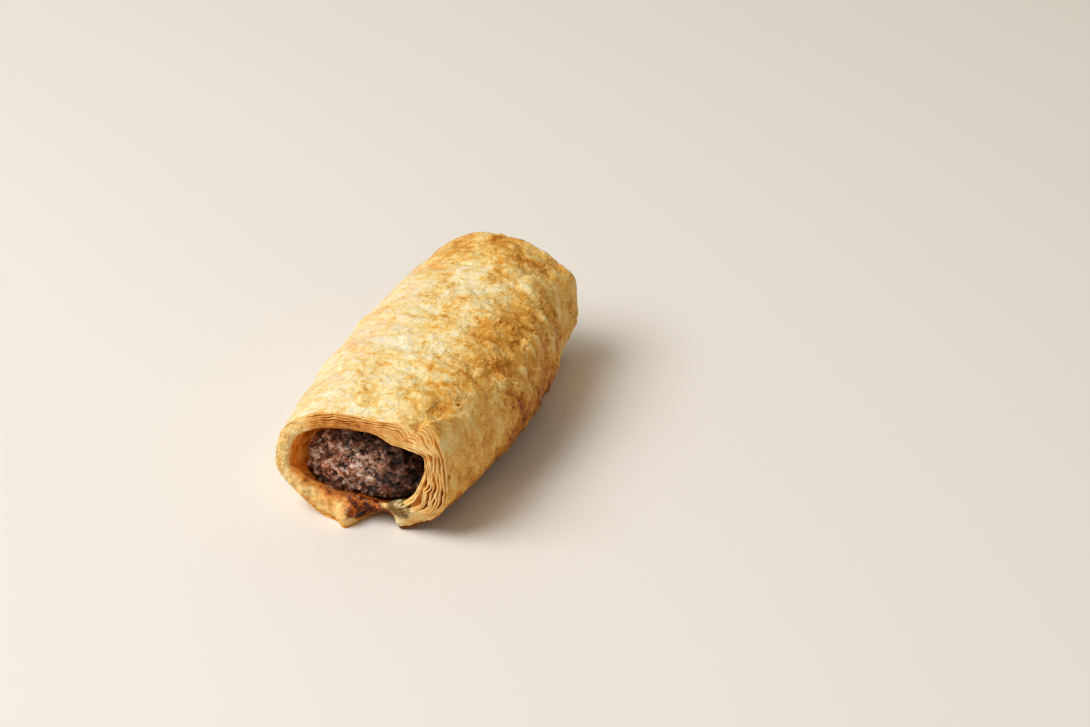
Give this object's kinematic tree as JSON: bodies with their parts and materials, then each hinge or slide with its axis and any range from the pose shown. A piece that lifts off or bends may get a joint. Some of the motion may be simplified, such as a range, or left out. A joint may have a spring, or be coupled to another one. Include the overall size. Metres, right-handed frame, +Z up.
{
  "type": "sausage roll",
  "caption": "Baked sausage roll: a flaky puff-pastry sleeve with open, layered cut ends, wrapped round a browned minced-meat sausage that shows at both mouths.",
  "frame": {"origin": "bottom centre of the roll's box, on the surface it lies on", "axes": "+Y along the roll from the near mouth, with the crease and the tab of dough, to the far mouth; +Z up; +X to the side where the top sheet folds down into the shoulder"},
  "size_m": [0.0636, 0.119, 0.0418],
  "materials": {
    "crust": "golden-brown baked puff pastry, flaky and mottled, satin where the glaze took",
    "meat": "dark browned minced meat, crumbly, greasy on its high spots"
  },
  "bodies": {
    "root": {"pastry": "crust", "sausage": "meat"}
  },
  "joints": []
}
